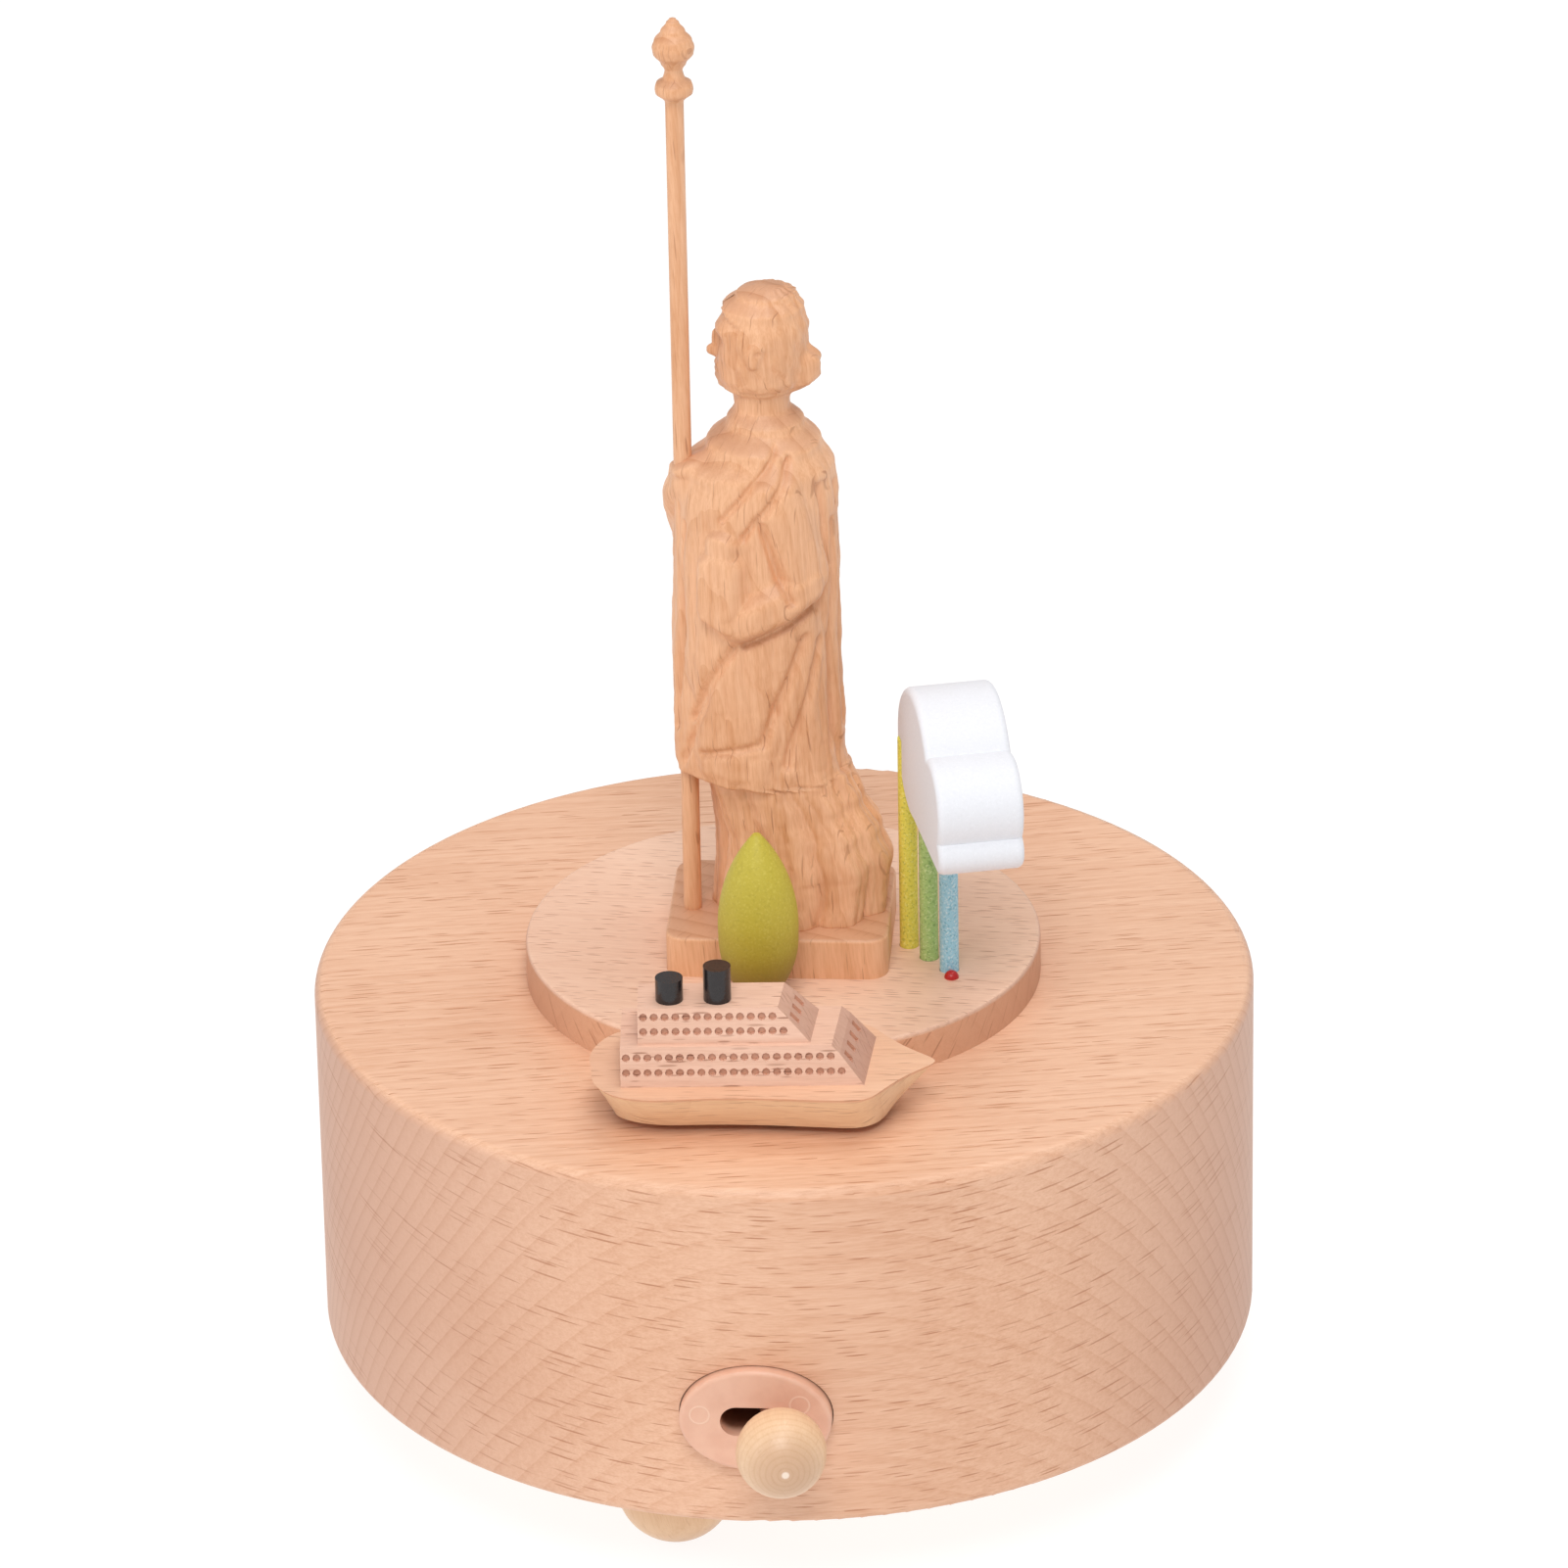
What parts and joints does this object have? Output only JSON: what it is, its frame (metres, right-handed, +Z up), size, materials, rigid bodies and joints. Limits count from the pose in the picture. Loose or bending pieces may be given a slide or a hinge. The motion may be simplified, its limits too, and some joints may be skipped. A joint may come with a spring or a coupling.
{
  "type": "wooden music box",
  "caption": "Round wooden wind-up music box on ball feet: a ship circles a carved robed figure, tree and cloud; front switch, winding key beneath.",
  "frame": {"origin": "on the spindle axis, in the plane that the feet stand on", "axes": "+Z up along the spindle, -Y out through the front switch, +X to the right seen from the switch"},
  "size_m": [0.11, 0.1234, 0.1734],
  "materials": {
    "beech": "clear matt lacquer over turned beech",
    "beech_carving": "clear matt lacquer over carved beech",
    "birch": "waxed turned birch",
    "birch_plywood": "bare birch plywood",
    "ship_hull_wood": "clear lacquer over limewood",
    "ship_cabin_wood": "clear lacquer over limewood",
    "green_paint": "speckled matt paint on wood",
    "yellow_paint": "speckled matt paint on wood",
    "leaf_green_paint": "speckled matt paint on wood",
    "blue_paint": "speckled matt paint on wood",
    "red_paint": "gloss paint on wood",
    "white_paint": "satin paint on wood",
    "black_paint": "gloss paint on wood",
    "pink_plastic": "moulded matt plastic",
    "lever_plastic": "moulded plastic",
    "steel": "zinc-plated steel",
    "spring_steel": "blued spring steel",
    "brass": "turned brass",
    "magnet": "nickel-plated magnet",
    "felt": "pressed felt"
  },
  "bodies": {
    "box": {"base_drum": "beech", "floor_board": "birch_plywood", "board_screws": "steel", "ball_foot_1": "birch", "ball_foot_2": "birch", "ball_foot_3": "birch", "centre_disc": "beech", "figure_dowel": "birch", "carved_figure": "beech_carving", "figure_staff": "beech_carving", "tree": "green_paint", "tree_pin": "birch", "yellow_rod": "yellow_paint", "green_rod": "leaf_green_paint", "blue_rod": "blue_paint", "red_bead": "red_paint", "cloud": "white_paint", "switch_plate": "pink_plastic", "pivot_pin": "steel", "bedplate": "steel", "bedplate_screws": "steel", "comb": "spring_steel", "comb_riser": "steel", "comb_screws": "steel", "spring_housing": "steel", "mainspring": "spring_steel", "cylinder_bearing": "steel", "step_bearing": "steel", "governor_frame": "steel"},
    "spindle": {"winding_key": "steel", "spindle_arbor": "steel", "crown_wheel": "brass", "magnet_arm": "brass", "drive_magnet": "magnet"},
    "cylinder": {"pinned_cylinder": "brass", "cylinder_shaft": "steel", "cylinder_pinion": "brass", "cylinder_gear": "brass"},
    "step_up": {"step_arbor": "steel", "step_pinion": "brass", "worm_wheel": "brass"},
    "governor": {"governor_worm": "steel", "air_brake": "brass"},
    "ship": {"ship_hull": "ship_hull_wood", "lower_cabin": "ship_cabin_wood", "upper_cabin": "ship_cabin_wood", "short_funnel": "black_paint", "tall_funnel": "black_paint", "ship_magnet": "magnet", "glide_pad": "felt"},
    "switch": {"switch_lever": "lever_plastic", "knob": "birch", "stop_wire": "steel"}
  },
  "joints": [
    {"name": "spindle_turn", "type": "hinge", "parent": "box", "child": "spindle", "pos_m": [0, 0, 0.03], "axis": [0, 0, 1], "continuous": true},
    {"name": "cylinder_turn", "type": "hinge", "parent": "box", "child": "cylinder", "pos_m": [0.01529, -0.01758, 0.024], "axis": [0.6561, -0.7547, 0], "continuous": true},
    {"name": "step_up_turn", "type": "hinge", "parent": "box", "child": "step_up", "pos_m": [0.01519, -0.03119, 0.024], "axis": [0.6561, -0.7547, 0], "continuous": true},
    {"name": "governor_turn", "type": "hinge", "parent": "box", "child": "governor", "pos_m": [0.01137, -0.03609, 0.024], "axis": [0, 0, 1], "continuous": true},
    {"name": "ship_orbit", "type": "hinge", "parent": "box", "child": "ship", "pos_m": [0, 0, 0.055], "axis": [0, 0, 1], "continuous": true},
    {"name": "switch_swing", "type": "hinge", "parent": "box", "child": "switch", "pos_m": [0, -0.042, 0.0236], "axis": [0, 0, 1], "range_deg": [-18.4, 0]}
  ],
  "couplings": [
    {"joint": "cylinder_turn", "follows": "spindle_turn", "ratio": 2.5},
    {"joint": "step_up_turn", "follows": "spindle_turn", "ratio": -5},
    {"joint": "governor_turn", "follows": "spindle_turn", "ratio": 30},
    {"joint": "ship_orbit", "follows": "spindle_turn", "ratio": 1}
  ]
}
